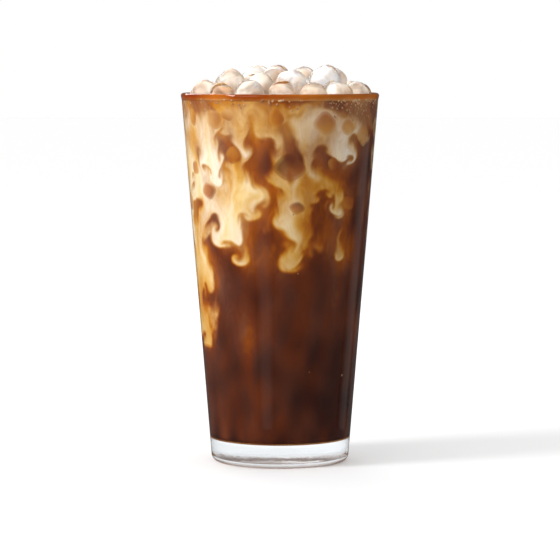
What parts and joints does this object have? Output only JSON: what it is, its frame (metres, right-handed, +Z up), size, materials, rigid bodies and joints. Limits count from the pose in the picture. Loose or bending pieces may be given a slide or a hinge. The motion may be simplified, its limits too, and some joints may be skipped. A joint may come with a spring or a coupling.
{
  "type": "iced coffee in a glass",
  "caption": "Tall tapered clear glass of iced coffee marbled with cream, filled to the brim, with rounded ice nuggets heaped above the rim.",
  "frame": {"origin": "centre of the foot of the glass, on the surface that it stands on", "axes": "+Z up along the glass's axis; the side shown to the viewer faces -Y"},
  "size_m": [0.0888, 0.0888, 0.1774],
  "materials": {
    "glass": "clear, fire-polished",
    "coffee": "dark coffee marbled with cream, glossy liquid",
    "ice": "wet, milky, rounded by melting"
  },
  "bodies": {
    "root": {"glass": "glass", "coffee": "coffee", "ice_ring_01": "ice", "ice_ring_02": "ice", "ice_ring_03": "ice", "ice_ring_04": "ice", "ice_ring_05": "ice", "ice_ring_06": "ice", "ice_ring_07": "ice", "ice_ring_08": "ice", "ice_ring_09": "ice", "ice_ring_10": "ice", "ice_ring_11": "ice", "ice_ring_12": "ice", "ice_ring_13": "ice", "ice_ring_14": "ice", "ice_ring_15": "ice", "ice_bed_01": "ice", "ice_bed_02": "ice", "ice_bed_03": "ice", "ice_bed_04": "ice", "ice_bed_05": "ice", "ice_bed_06": "ice", "ice_bed_07": "ice", "ice_bed_08": "ice", "ice_bed_09": "ice", "ice_bed_10": "ice", "ice_bed_11": "ice", "ice_bed_12": "ice", "ice_heap_01": "ice", "ice_heap_02": "ice", "ice_heap_03": "ice", "ice_heap_04": "ice", "ice_heap_05": "ice", "ice_heap_06": "ice", "ice_heap_07": "ice", "ice_heap_08": "ice", "ice_heap_09": "ice", "ice_heap_10": "ice", "ice_heap_11": "ice", "ice_heap_12": "ice", "ice_heap_13": "ice"}
  },
  "joints": []
}
